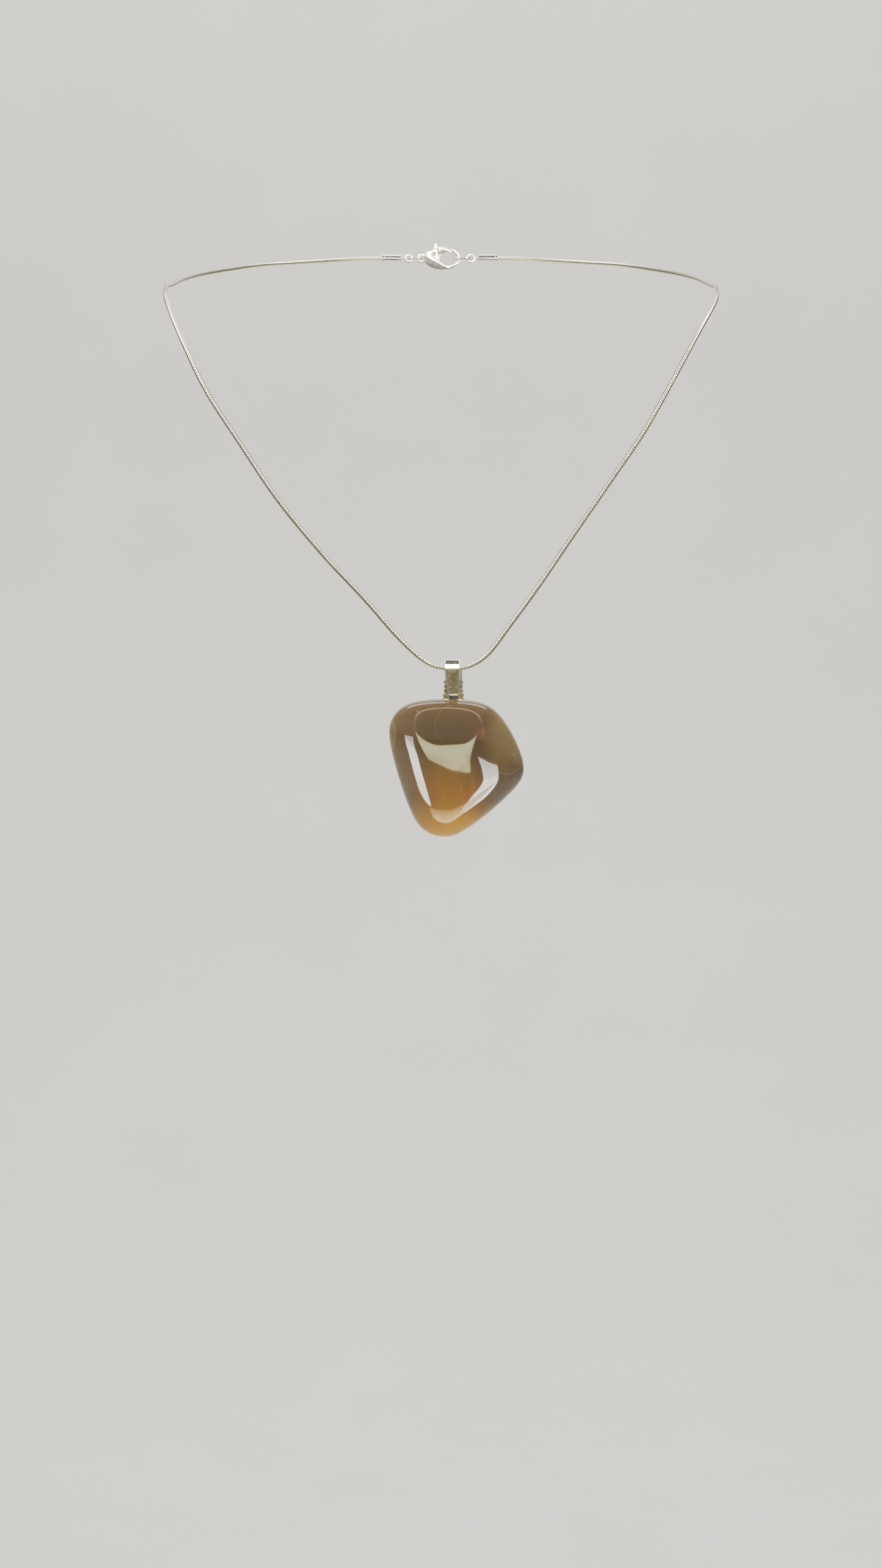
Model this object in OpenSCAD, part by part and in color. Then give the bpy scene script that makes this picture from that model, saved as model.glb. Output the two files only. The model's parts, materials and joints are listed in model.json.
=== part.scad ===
// Pendant necklace: an agate drop glued to a folded bail, on a round snake
// chain that closes behind the neck with a trigger clasp.
// Origin: centre of the neck opening, level with the two points where the
// chain lies over the shoulders. +Z is up and -Y is the wearer's front.

/* [Chain] */
// Diameter of the round snake chain
chain_d = 1.2; // [0.9:0.1:1.5]
// Air between the front strand's round end and a back strand, at each shoulder
shoulder_gap = 0.15; // [0.1:0.05:0.4]

/* [Stone] */
// Width of the stone
stone_w = 31; // [26:0.5:38]
// Height of the stone
stone_h = 32.3; // [25:0.2:38]
// Thickness from the flat back to the crown
stone_t = 7.5; // [6.2:0.1:10]
// Depth of the rounded edge behind the girdle
back_edge = 2.2; // [1.6:0.1:3]
// Width of that edge, as seen from the front
back_round = 1.4; // [0.6:0.1:2.2]
// Squareness of the crown: 2 is an ellipse, higher is flatter with a fuller rim
crown_power = 2.5; // [2:0.1:3.2]
// Distance from the chain down to the top of the stone
stone_drop = 6.9; // [6.4:0.1:8]

/* [Bail] */
// Width of the ribbon at the top fold
ribbon_w = 3.3; // [2.6:0.1:4.2]
// Width of the ribbon at its foot
foot_w = 2.4; // [1.8:0.1:3]
// Sideways lean of the foot
foot_lean = 0.35; // [0:0.05:0.6]
// Thickness of the legs
leg_t = 0.6; // [0.5:0.05:0.8]
// Thickness of the metal over the chain
fold_t = 1.2; // [0.9:0.05:1.5]
// Air round the chain under the fold
bail_clear = 0.25; // [0.2:0.05:0.4]
// Distance between the legs at the stone
leg_space = 2.6; // [2.2:0.1:3.2]
// Width of the raised rim round the front face
rim_w = 0.3; // [0.2:0.05:0.45]
// Depth of the sunk front face inside that rim
rim_h = 0.12; // [0.08:0.02:0.2]
// Air between the foot and the top of the stone
foot_gap = 0.08; // [0.05:0.01:0.2]
// Width of the back leg
back_leg_w = 3.9; // [3.4:0.1:4.6]
// Sideways shift of the back leg and its pad
pad_lean = 0.3; // [0:0.05:0.6]
// Widest part of the leaf pad, between the centres of its scallops
pad_w = 3.4; // [2.8:0.1:4.6]
// Length of the leaf pad below the chain
pad_len = 14.5; // [12:0.5:18]
// Radius of one scallop of the pad's edge
scallop_r = 0.75; // [0.6:0.05:0.9]
// Thickness of the glue under the pad
glue_t = 0.12; // [0.06:0.02:0.2]

/* [End caps] */
// Outer diameter of a cap
cap_d = 2; // [1.9:0.1:2.6]
// Length of a cap's tube
cap_len = 5; // [4:0.5:7]
// Air round the chain inside a cap
cap_clear = 0.02; // [0.02:0.01:0.06]
// Thickness of a cap's closed end
cap_wall = 0.7; // [0.5:0.1:1]
// Thickness of a cap's eye
cap_eye_t = 0.8; // [0.6:0.1:1]
// Metal round the hole of an eye
eye_wall = 0.5; // [0.4:0.05:0.7]
// Air between a ring's wire and the hole it passes through
eye_clear = 0.3; // [0.25:0.05:0.4]

/* [Rings] */
// Wire of the jump ring
jump_wire = 0.7; // [0.6:0.05:0.8]
// Middle diameter of the jump ring
jump_d = 3.4; // [3.2:0.1:4.2]
// Wire of the catch ring
catch_wire = 0.8; // [0.6:0.05:0.9]
// Middle diameter of the catch ring
catch_d = 4.2; // [4:0.1:5]

/* [Clasp] */
// Length of the clasp's oval body
clasp_len = 9.7; // [9.2:0.1:11]
// Height of the oval body
clasp_h = 5.8; // [5.2:0.1:6.6]
// Thickness of the body
clasp_t = 1.8; // [1.7:0.1:2.2]
// Metal round the hook
hook_wall = 0.9; // [0.7:0.05:1.1]
// Thickness of the lever
lever_t = 0.9; // [0.8:0.05:1.1]
// Air on each side of the lever
lever_clear = 0.05; // [0.03:0.01:0.1]
// Diameter of the hinge pin
pin_d = 0.6; // [0.5:0.05:0.75]
// Radial air between pin and lever
pin_clear = 0.03; // [0.02:0.01:0.06]
// Wire of the spring
spring_wire = 0.14; // [0.1:0.01:0.16]

/* [Hanging] */
// Lean of the pendant that puts its weight straight under the chain
hang_tilt = 4.9; // [0:0.1:12]

/* [Hidden] */
$fn = 48;
eps = 0.01;

// Route of the chain from the left end cap, over the left shoulder, through
// the bail, over the right shoulder and back to the right end cap.
back_left_route = [
    [-18, 66, 6], [-27.5, 64.5, 5.5], [-37, 60.5, 5], [-46, 53.5, 4.5],
    [-53.5, 44, 3.5], [-59.5, 32.5, 2.5], [-63, 21, 1.5], [-64.5, 10, 0.5]
];
front_route = [
    [-65, 0, 0], [-64, -7, -3], [-60, -15.5, -11], [-54, -22, -22.5],
    [-46, -28, -34], [-37, -34, -46.5], [-27, -39, -58], [-17, -44, -68],
    [-10, -47.5, -75.5], [-5, -49.5, -80], [-1.5, -50, -82], [2.5, -50, -82.5],
    [6.5, -50, -82], [10.5, -49, -79.5], [15, -46.5, -74], [22, -42.5, -65],
    [30, -37.5, -54], [38.5, -32, -42.5], [46.5, -26.5, -31.5], [53.5, -20.5, -20],
    [60, -14, -9], [64, -7, -3], [65, 0, 0]
];
back_right_route = [
    [64.5, 10, 0.5], [63, 21, 1.5], [59.5, 32.5, 2.5], [53.5, 44, 3.5],
    [46, 53.5, 4.5], [37, 60.5, 5], [27.5, 64.5, 5.5], [18, 66, 6]
];
route = concat(back_left_route, front_route, back_right_route);
left_shoulder = len(back_left_route);
right_shoulder = left_shoulder + len(front_route) - 1;
bail_point = left_shoulder + 11;
tube_sides = 8;
rings_per_step = 2;

chain_r = chain_d / 2;
hang_point = route[bail_point];
nape_left = route[0];
nape_right = route[len(route) - 1];

// Pendant: the chain's centre is the local origin, and +Y points to the chest
loop_r = chain_r + bail_clear;
back_face = leg_space / 2;
stone_back = back_face - glue_t;
girdle = stone_back - back_edge;
front_face = -loop_r - leg_t;
fold_top = loop_r + fold_t;
spread_z = -3;
foot_z = -stone_drop + foot_gap;

// How far a ring of radius r curves away over a half thickness h
function ring_sag(r, h) = r - sqrt(r * r - h * h);

// Clasp, seen from the back: local x runs from the tail eye to the hook
oval_start = 0.55;
oval_mid = oval_start + clasp_len / 2;
hook_end = oval_start + clasp_len - hook_wall;
hook_space_len = clasp_len * 0.48;
hook_mid = hook_end - hook_space_len / 2;
hook_space_h = clasp_h - 2 * hook_wall - 0.5;
// The catch ring rests this far short of the hook's end, so that its curve
// clears the corners of the hook
ring_rest = hook_end - ring_sag(catch_d / 2, clasp_t / 2) - catch_wire * 0.56 - 0.15;
pivot = [2.9, 0.9];
gate_r = ring_rest - pivot[0] - catch_wire / 2 - 0.25;
slot_t = lever_t + 2 * lever_clear;
hub_r = 0.95;
hub_t = lever_t * 0.55;
gate_gap = 0.08;

// Clasp row: everything lies on one line, from the left cap's eye to the right's
cap_bore_r = chain_r + cap_clear;
cap_reach = 1.9;
jump_hole_r = jump_wire / 2 + eye_clear;
catch_hole_r = catch_wire / 2 + eye_clear;
tail_hole_r = jump_hole_r + 0.05;
left_eye_x = (nape_left[0] + nape_right[0]) / 2 - 8.4;
tail_x = left_eye_x + jump_d;
right_eye_x = tail_x + ring_rest + catch_d;

function unit(v) = v / norm(v);

// Point t of the way along step i of the route, on a smooth curve through all
function route_point(i) =
    i < 0 ? [2 * route[0][0] - route[1][0], route[1][1], route[1][2]] :
    i >= len(route) ?
        [2 * nape_right[0] - route[len(route) - 2][0],
         route[len(route) - 2][1], route[len(route) - 2][2]] :
    route[i];

function curve(i, t) =
    let (a = route_point(i - 1), b = route_point(i), c = route_point(i + 1), d = route_point(i + 2))
    0.5 * (2 * b + (c - a) * t + (2 * a - 5 * b + 4 * c - d) * t * t
        + (3 * b - a - 3 * c + d) * t * t * t);

function heading(i, t) =
    let (a = route_point(i - 1), b = route_point(i), c = route_point(i + 1), d = route_point(i + 2))
    unit(0.5 * ((c - a) + 2 * (2 * a - 5 * b + 4 * c - d) * t
        + 3 * (3 * b - a - 3 * c + d) * t * t));

// [centre, direction, radius] of every ring between two points of the route
function rings(first, last) = [
    for (i = [first : last - 1], k = [0 : rings_per_step - 1])
        [curve(i, k / rings_per_step), heading(i, k / rings_per_step), chain_r]
];

function ring_points(ring) =
    let (side = unit(cross(ring[1], [0, 0, 1])), up = cross(side, ring[1]))
    [for (k = [0 : tube_sides - 1])
        ring[0] + ring[2] * (cos(360 * k / tube_sides) * side + sin(360 * k / tube_sides) * up)];

// Closed tube through a list of rings
module tube(list) {
    n = tube_sides;
    last = (len(list) - 1) * n;
    points = [for (ring = list) each ring_points(ring)];
    sides = [
        for (j = [0 : len(list) - 2], k = [0 : n - 1])
            [j * n + k, j * n + (k + 1) % n, (j + 1) * n + (k + 1) % n, (j + 1) * n + k]
    ];
    start_face = [for (k = [0 : n - 1]) n - 1 - k];
    end_face = [for (k = [0 : n - 1]) last + k];
    polyhedron(points, concat(sides, [start_face], [end_face]), convexity = 10);
}

// Two smaller rings past a shoulder point make a strand's end round, so that
// it turns against the next strand without touching it
function round_end(i, sense) = [
    for (a = sense > 0 ? [30, 60] : [60, 30])
        [route[i] + sense * sin(a) * chain_r * heading(i, 0), heading(i, 0), cos(a) * chain_r]
];

module chain_front() {
    color("gainsboro")
    tube(concat(
        round_end(left_shoulder, -1),
        rings(left_shoulder, right_shoulder),
        [[route[right_shoulder], heading(right_shoulder, 0), chain_r]],
        round_end(right_shoulder, 1)
    ));
}

module chain_back_left() {
    stand_off = (chain_r + shoulder_gap) * heading(left_shoulder, 0);
    cap_end = [left_eye_x - cap_reach - cap_wall - eps, nape_left[1], nape_left[2]];
    color("gainsboro")
    tube(concat(
        [[cap_end, [-1, 0, 0], chain_r]],
        rings(0, left_shoulder),
        [[route[left_shoulder] - stand_off, heading(left_shoulder, 0), chain_r]]
    ));
}

module chain_back_right() {
    stand_off = (chain_r + shoulder_gap) * heading(right_shoulder, 0);
    after = rings(right_shoulder, len(route) - 1);
    cap_end = [right_eye_x + cap_reach + cap_wall + eps, nape_right[1], nape_right[2]];
    color("gainsboro")
    tube(concat(
        [[route[right_shoulder] + stand_off, heading(right_shoulder, 0), chain_r]],
        [for (k = [1 : len(after) - 1]) after[k]],
        [[nape_right, [-1, 0, 0], chain_r]],
        [[cap_end, [-1, 0, 0], chain_r]]
    ));
}

// Puts the pendant's local frame on the chain, leaning as it hangs
module pendant_place() {
    translate(hang_point) rotate([hang_tilt, 0, 0]) children();
}

// Rounded corners of the stone, each as [across, up, radius] in shares of its
// size, from the middle of the top edge: two shoulders, a side and the bottom
stone_rounds = [
    [-0.23, -0.246, 0.232], [0.15, -0.264, 0.25], [0.355, -0.50, 0.175], [-0.055, -0.745, 0.255]
];
// How sharply one corner gives way to the next, and how far a side swells
corner_grip = 18;
side_swell = 0.02;
stone_mid = [0.03, -0.49];
stone_around = 60;
crown_steps = 10;
edge_steps = 3;

// Edge of the stone that faces one way, at a share of a turn from the top: the
// corners' outermost points there, shared out by a softened maximum
function outline(share) =
    let (
        way = [sin(360 * share), cos(360 * share)],
        reach = [for (c = stone_rounds) c[0] * way[0] + c[1] * way[1] + c[2]],
        pulls = [for (r = reach) exp(corner_grip * (r - max(reach)))],
        parts = pulls / (pulls * [for (p = pulls) 1]),
        middle = parts * [for (c = stone_rounds) [c[0], c[1]]],
        radius = parts * [for (c = stone_rounds) c[2]],
        mix = -parts * [for (p = parts) ln(p)]
    )
    middle + (radius + side_swell * mix) * way;

// One ring of the stone: the outline drawn in towards the middle, at depth y
function stone_ring(inward, y) = [
    for (k = [0 : stone_around - 1])
        let (p = stone_mid + inward * (outline(k / stone_around) - stone_mid))
        [p[0] * stone_w, y, p[1] * stone_h - stone_drop]
];

function edge_inward(a) = 1 - 2 * back_round / stone_w * (1 - cos(a));

module stone() {
    crown_t = stone_t - back_edge;
    levels = concat(
        [for (k = [edge_steps : -1 : 1])
            let (a = 90 * k / edge_steps) stone_ring(edge_inward(a), girdle + back_edge * sin(a))],
        [for (k = [0 : crown_steps - 1])
            let (a = 90 * k / crown_steps)
            stone_ring(pow(cos(a), 2 / crown_power), girdle - crown_t * pow(sin(a), 2 / crown_power))]
    );
    n = stone_around;
    top = len(levels) * n;
    crown = [stone_mid[0] * stone_w, girdle - crown_t, stone_mid[1] * stone_h - stone_drop];
    walls = [
        for (j = [0 : len(levels) - 2], k = [0 : n - 1])
            [j * n + k, j * n + (k + 1) % n, (j + 1) * n + (k + 1) % n, (j + 1) * n + k]
    ];
    cap = [for (k = [0 : n - 1]) [top - n + k, top - n + (k + 1) % n, top]];
    back = [[for (k = [0 : n - 1]) n - 1 - k]];
    color("peru")
    pendant_place()
    polyhedron([for (ring = levels) each ring, crown], concat(walls, cap, back), convexity = 4);
}

// Flat shape in the plane of the chest, thickened from depth y towards the back
module plate(y, t) {
    translate([0, y + t, 0]) rotate([90, 0, 0]) linear_extrude(t) children();
}

// Leaf pad: a body that swells and narrows, with scallops down both edges
pad_top = -3.6;
scallop_step = scallop_r * 1.35;
scallops = floor((pad_len + pad_top - scallop_r) / scallop_step);

function pad_half(z) =
    let (s = (pad_top - z) / (pad_len + pad_top))
    (back_leg_w / 2 - 0.5) * (1 - s) + (pad_w / 2 - back_leg_w / 4 + 0.25) * pow(sin(180 * s), 2);

pad_edge = [for (k = [0 : scallops]) pad_top - k * scallop_step];
pad_leaf = concat(
    [for (z = pad_edge) [pad_lean + pad_half(z), z]],
    [[pad_lean, -pad_len + scallop_r]],
    [for (k = [scallops : -1 : 0]) [pad_lean - pad_half(pad_edge[k]), pad_edge[k]]]
);

module pad_outline() {
    polygon(pad_leaf);
    for (p = pad_leaf) translate(p) circle(r = scallop_r, $fn = 24);
}

module adhesive() {
    color("ivory")
    pendant_place()
    plate(stone_back, glue_t)
    intersection() {
        polygon(pad_leaf);
        translate([-pad_w, -pad_len]) square([2 * pad_w, pad_len - stone_drop - back_round - 0.2]);
    }
}

// Side view of the folded ribbon: front leg and the fold over the chain
module ribbon_side() {
    difference() {
        polygon([
            [front_face, foot_z - 0.5], [front_face, 0.3], [front_face + 0.3, fold_top - 0.7],
            [front_face + 1, fold_top], [-front_face - 0.5, fold_top],
            [-front_face, fold_top - 0.9], [-front_face, 0]
        ]);
        circle(r = loop_r);
        translate([-loop_r, foot_z - 1]) square([2 * loop_r, 1 - foot_z]);
    }
}

// Side view of the back leg, which spreads to the chest to reach the pad
module back_leg_side() {
    polygon([
        [loop_r, 0.4], [-front_face, 0.4], [back_face + leg_t, spread_z],
        [back_face + leg_t, pad_top], [back_face, pad_top], [back_face, spread_z]
    ]);
}

// Front view of the ribbon, narrowing to its foot and flaring where it lands
module ribbon_front(inset) {
    top = ribbon_w / 2 - inset;
    foot = foot_w / 2 - inset;
    polygon([
        [-top, 3], [-top, 0.3], [foot_lean - foot, foot_z + 0.9],
        [foot_lean - foot - 0.12, foot_z], [foot_lean + foot + 0.4, foot_z],
        [foot_lean + foot, foot_z + 0.9], [top, 0.3], [top, 3]
    ]);
}

module side_to_solid(w) {
    translate([-w, 0, 0]) rotate([90, 0, 90]) linear_extrude(2 * w) children();
}

module bail() {
    color("silver")
    pendant_place() {
        difference() {
            intersection() {
                side_to_solid(ribbon_w) ribbon_side();
                plate(-4, 8) ribbon_front(0);
            }
            plate(front_face - 1, 1 + rim_h)
            intersection() {
                ribbon_front(rim_w);
                translate([-ribbon_w, foot_z + 1.1]) square([2 * ribbon_w, -foot_z - 1.1]);
            }
        }
        intersection() {
            side_to_solid(back_leg_w) back_leg_side();
            plate(0, 4) polygon([
                [-ribbon_w / 2, 0.4], [pad_lean - back_leg_w / 2, -0.8],
                [pad_lean - back_leg_w / 2, pad_top], [pad_lean + back_leg_w / 2, pad_top],
                [pad_lean + back_leg_w / 2, -0.8], [ribbon_w / 2, 0.4]
            ]);
        }
        plate(back_face, leg_t) pad_outline();
    }
}

// Puts a local frame on the clasp's line, x along it
module nape(x) {
    translate([x, nape_left[1], nape_left[2]]) children();
}

// Cap that is crimped on a chain end, seen with its eye at the local origin and
// the chain coming in from -x
module end_cap(hole_r) {
    eye_r = hole_r + eye_wall;
    difference() {
        union() {
            rotate([90, 0, 0]) cylinder(r = eye_r, h = cap_eye_t, center = true);
            rotate([0, -90, 0]) cylinder(d = cap_eye_t - 0.1, h = cap_reach + 0.3);
            translate([-cap_reach, 0, 0]) rotate([0, -90, 0]) cylinder(d = cap_d, h = cap_len);
            translate([-cap_reach - cap_len, 0, 0]) rotate([0, 90, 0]) cylinder(d = cap_d + 0.2, h = 0.6);
        }
        rotate([90, 0, 0]) cylinder(r = hole_r, h = 4, center = true);
        translate([-cap_reach - cap_wall, 0, 0]) rotate([0, -90, 0]) cylinder(r = cap_bore_r, h = cap_len);
    }
}

module end_cap_left() {
    color("silver") nape(left_eye_x) end_cap(jump_hole_r);
}

module end_cap_right() {
    color("silver") nape(right_eye_x) mirror([1, 0, 0]) end_cap(catch_hole_r);
}

// Ring lying level; a turn below 360 leaves the seam where it was bent shut
module wire_ring(d, wire, turn) {
    rotate_extrude(angle = turn) translate([d / 2, 0]) circle(d = wire, $fn = 32);
}

module jump_ring() {
    color("silver") nape(left_eye_x + jump_d / 2) rotate([0, 0, 91]) wire_ring(jump_d, jump_wire, 358);
}

module catch_ring() {
    color("silver") nape(right_eye_x - catch_d / 2) wire_ring(catch_d, catch_wire, 360);
}

// Oval with half lengths a and b round a centre
module oval(centre, a, b) {
    polygon([for (k = [0 : 6 : 354]) centre + [a * cos(k), b * sin(k)]]);
}

module hook_space() {
    oval([hook_mid, -0.1], hook_space_len / 2, hook_space_h / 2);
}

module clasp_oval() {
    oval([oval_mid, 0], clasp_len / 2, clasp_h / 2);
}

// Thickens a flat clasp shape evenly to both sides of the clasp's middle
module clasp_plate(t) {
    plate(-t / 2, t) children();
}

module clasp_body() {
    color("silver")
    nape(tail_x)
    difference() {
        union() {
            clasp_plate(1.2) {
                circle(r = tail_hole_r + eye_wall + 0.05);
                translate([0.7, -0.6]) square([1.2, 1.2]);
            }
            clasp_plate(clasp_t)
            difference() {
                clasp_oval();
                hook_space();
                intersection() {
                    translate(pivot) circle(r = gate_r + gate_gap);
                    translate([4.2, 0.25]) square([clasp_len, clasp_h]);
                }
            }
        }
        rotate([90, 0, 0]) cylinder(r = tail_hole_r, h = 4, center = true);
        clasp_plate(slot_t) {
            translate([2.2, -0.95]) square([2.8, clasp_h]);
            translate([1.35, 0]) square([1.2, clasp_h]);
        }
        translate([pivot[0], 0, pivot[1]]) rotate([90, 0, 0]) cylinder(d = pin_d, h = 4, center = true);
    }
}

module clasp_pin() {
    color("silver")
    nape(tail_x)
    translate([pivot[0], 0, pivot[1]])
    rotate([90, 0, 0]) cylinder(d = pin_d, h = clasp_t, center = true);
}

module lever_outline() {
    translate(pivot) circle(r = hub_r);
    difference() {
        intersection() {
            clasp_oval();
            translate(pivot) circle(r = gate_r);
            translate([pivot[0], 0.35]) square([clasp_len, clasp_h]);
        }
        hook_space();
    }
    // Thumb tab
    translate([pivot[0] - 0.05, pivot[1]]) rotate(-8) square([0.85, 2.3]);
    translate(pivot + [0.75, 2.35]) circle(r = 0.55);
    // Heel that stops the closed lever
    translate([1.75, 0.08]) square([1.15, 0.72]);
}

module clasp_lever() {
    color("silver")
    nape(tail_x)
    difference() {
        clasp_plate(lever_t) lever_outline();
        translate([pivot[0], 0, pivot[1]]) rotate([90, 0, 0])
            cylinder(r = pin_d / 2 + pin_clear, h = 4, center = true);
        // Room for the spring beside the hub and over the heel
        translate([pivot[0], lever_t / 2 - hub_t, pivot[1]]) rotate([90, 0, 0])
            cylinder(r = hub_r + 0.05, h = 2);
        translate([0, lever_t / 2 - hub_t - 2, -1]) cube([pivot[0], 2, 2.6]);
    }
}

// Coil of one and a half turns round the pin, with a leg that bears on the slot
module clasp_spring() {
    coil_r = pin_d / 2 + 0.12 + spring_wire / 2;
    start = hub_t - lever_t / 2 + 0.05 + spring_wire / 2;
    pitch = spring_wire + 0.01;
    leg = [[coil_r, -1.4, 0], [0, 1, 0], spring_wire / 2];
    coil = [
        for (a = [0 : 18 : 540])
            [[coil_r * cos(a), coil_r * sin(a), pitch * a / 360], [-sin(a), cos(a), 0], spring_wire / 2]
    ];
    color("dimgray")
    nape(tail_x)
    translate([pivot[0], 0, pivot[1]])
    rotate([90, 0, 0]) rotate(-90) translate([0, 0, start])
    tube(concat([leg], coil));
}

stone();
adhesive();
bail();
chain_front();
chain_back_left();
chain_back_right();
end_cap_left();
end_cap_right();
jump_ring();
catch_ring();
clasp_body();
clasp_lever();
clasp_pin();
clasp_spring();
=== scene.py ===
"""Pendant necklace in a pale studio: a polished agate in a folded silver bail, on a round snake chain.

Lengths inside the shape functions are millimetres. Each piece is turned to metres once, as its mesh is made.
"""
import json
import math

import bmesh
import bpy
import numpy as np
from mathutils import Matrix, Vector


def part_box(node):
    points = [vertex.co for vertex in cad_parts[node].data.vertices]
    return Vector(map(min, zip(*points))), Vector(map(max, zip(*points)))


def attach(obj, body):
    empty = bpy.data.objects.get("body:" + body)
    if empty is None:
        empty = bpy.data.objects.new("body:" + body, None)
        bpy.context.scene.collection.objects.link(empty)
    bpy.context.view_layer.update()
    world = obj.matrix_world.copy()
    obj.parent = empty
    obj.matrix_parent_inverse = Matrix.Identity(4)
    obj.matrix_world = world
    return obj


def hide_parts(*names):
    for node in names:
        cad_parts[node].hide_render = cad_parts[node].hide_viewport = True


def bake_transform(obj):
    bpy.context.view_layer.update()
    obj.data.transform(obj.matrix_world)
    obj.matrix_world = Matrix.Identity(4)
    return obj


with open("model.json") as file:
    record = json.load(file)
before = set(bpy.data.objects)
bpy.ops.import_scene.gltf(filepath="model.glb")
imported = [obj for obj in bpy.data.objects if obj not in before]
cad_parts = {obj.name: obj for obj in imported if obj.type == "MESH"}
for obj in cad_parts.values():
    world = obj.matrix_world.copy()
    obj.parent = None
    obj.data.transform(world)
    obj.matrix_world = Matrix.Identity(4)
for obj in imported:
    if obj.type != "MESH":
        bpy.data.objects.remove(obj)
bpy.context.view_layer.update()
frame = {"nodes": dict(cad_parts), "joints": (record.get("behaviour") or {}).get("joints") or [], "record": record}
MM = 0.001

# ---------------------------------------------------------------- places taken from the frame, and the pendant's given lean
joints = {j["name"]: j for j in frame["joints"]}
HANG = np.array(joints["pendant_swing"]["pos_m"]) / MM
HANG_TILT = math.radians(4.9)
chain_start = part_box("chain_back_left")[1][0] / MM
chain_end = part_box("chain_back_right")[0][0] / MM

# ---------------------------------------------------------------- camera
VIEW_DROP = math.radians(12)
VIEW_DISTANCE = 0.600
AIM = (0.0, -0.050, -0.109)
HALF_VIEW_HEIGHT = 0.17725
camera_data = bpy.data.cameras.new("camera")
camera_data.sensor_fit = "VERTICAL"
camera_data.angle = 2 * math.atan(HALF_VIEW_HEIGHT / VIEW_DISTANCE)
camera_data.clip_start = 0.01
camera = bpy.data.objects.new("camera", camera_data)
camera.location = (
    AIM[0],
    AIM[1] - VIEW_DISTANCE * math.cos(VIEW_DROP),
    AIM[2] + VIEW_DISTANCE * math.sin(VIEW_DROP),
)
camera.rotation_euler = (math.pi / 2 - VIEW_DROP, 0, 0)
bpy.context.scene.collection.objects.link(camera)
bpy.context.scene.camera = camera


# ---------------------------------------------------------------- mesh helpers
def make_piece(name, points, faces, values=None):
    """Mesh object from points in millimetres and an array or list of faces, with named per-point values."""
    mesh = bpy.data.meshes.new(name)
    mesh.from_pydata(np.asarray(points, float) * MM, [], faces)
    for key, value in (values or {}).items():
        value = np.asarray(value, np.float32)
        kind = "FLOAT" if value.ndim == 1 else "FLOAT_VECTOR"
        layer = mesh.attributes.new(key, kind, "POINT")
        layer.data.foreach_set("value" if kind == "FLOAT" else "vector", value.ravel())
    mesh.polygons.foreach_set("use_smooth", np.ones(len(mesh.polygons), bool))
    mesh.update()
    piece = bpy.data.objects.new(name, mesh)
    bpy.context.scene.collection.objects.link(piece)
    return piece


def grid_faces(rows, columns):
    """Four-cornered faces of a sheet of rows by columns points whose columns close round into a tube."""
    j, k = np.meshgrid(np.arange(rows - 1), np.arange(columns), indexing="ij")
    n = (k + 1) % columns
    here, above = j * columns, (j + 1) * columns
    return np.stack([here + k, here + n, above + n, above + k], -1).reshape(-1, 4)


def closed_tube(grid):
    """Points and faces of a tube given as rows x columns x 3, each end closed by a fan of triangles."""
    rows, columns = grid.shape[:2]
    points = np.concatenate([grid.reshape(-1, 3), grid[0].mean(0)[None], grid[-1].mean(0)[None]])
    k = np.arange(columns)
    n = (k + 1) % columns
    first, last = rows * columns, rows * columns + 1
    start = np.stack([n, k, np.full(columns, first)], -1)
    base = (rows - 1) * columns
    end = np.stack([base + k, base + n, np.full(columns, last)], -1)
    faces = grid_faces(rows, columns).tolist() + start.tolist() + end.tolist()
    return points, faces


def unit(v):
    return v / np.linalg.norm(v, axis=-1, keepdims=True)


def hang(points):
    """Carries the pendant from its own frame to the necklace's: leans it by the hanging angle about X, then
    moves it onto the chain."""
    c, s = math.cos(HANG_TILT), math.sin(HANG_TILT)
    x, y, z = np.moveaxis(np.asarray(points, float), -1, 0)
    return np.stack([x, y * c - z * s, y * s + z * c], -1) + HANG


# ---------------------------------------------------------------- shader expressions
class Wire:
    """One socket of a shader tree. Arithmetic on wires and numbers adds Math nodes."""

    def __init__(self, tree, socket):
        self.tree, self.socket = tree, socket

    def _math(self, operation, *inputs):
        return node(self.tree, "ShaderNodeMath", {"operation": operation}, dict(enumerate(inputs)))

    def __add__(self, other):
        return self._math("ADD", self, other)

    def __radd__(self, other):
        return self._math("ADD", other, self)

    def __sub__(self, other):
        return self._math("SUBTRACT", self, other)

    def __rsub__(self, other):
        return self._math("SUBTRACT", other, self)

    def __mul__(self, other):
        return self._math("MULTIPLY", self, other)

    def __rmul__(self, other):
        return self._math("MULTIPLY", other, self)

    def __truediv__(self, other):
        return self._math("DIVIDE", self, other)

    def __rtruediv__(self, other):
        return self._math("DIVIDE", other, self)

    def __pow__(self, other):
        return self._math("POWER", self, other)

    def root(self):
        return self._math("SQRT", self)

    def size(self):
        return self._math("ABSOLUTE", self)

    def clamp(self):
        return node(self.tree, "ShaderNodeClamp", {}, {0: self})

    def ease(self, low, high):
        """0 below low, 1 above high, and a smooth step between them; low may be above high."""
        settings = {"interpolation_type": "SMOOTHSTEP"}
        return node(self.tree, "ShaderNodeMapRange", settings, {0: self, 1: low, 2: high, 3: 0.0, 4: 1.0})


def node(tree, kind, settings, inputs, output=0):
    """Adds a node of that kind, sets its settings, then its inputs from values or wires."""
    made = tree.nodes.new(kind)
    for key, value in settings.items():
        setattr(made, key, value)
    for key, value in inputs.items():
        if isinstance(value, Wire):
            tree.links.new(value.socket, made.inputs[key])
        elif value is not None:
            made.inputs[key].default_value = value
    return Wire(tree, made.outputs[output])


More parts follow.
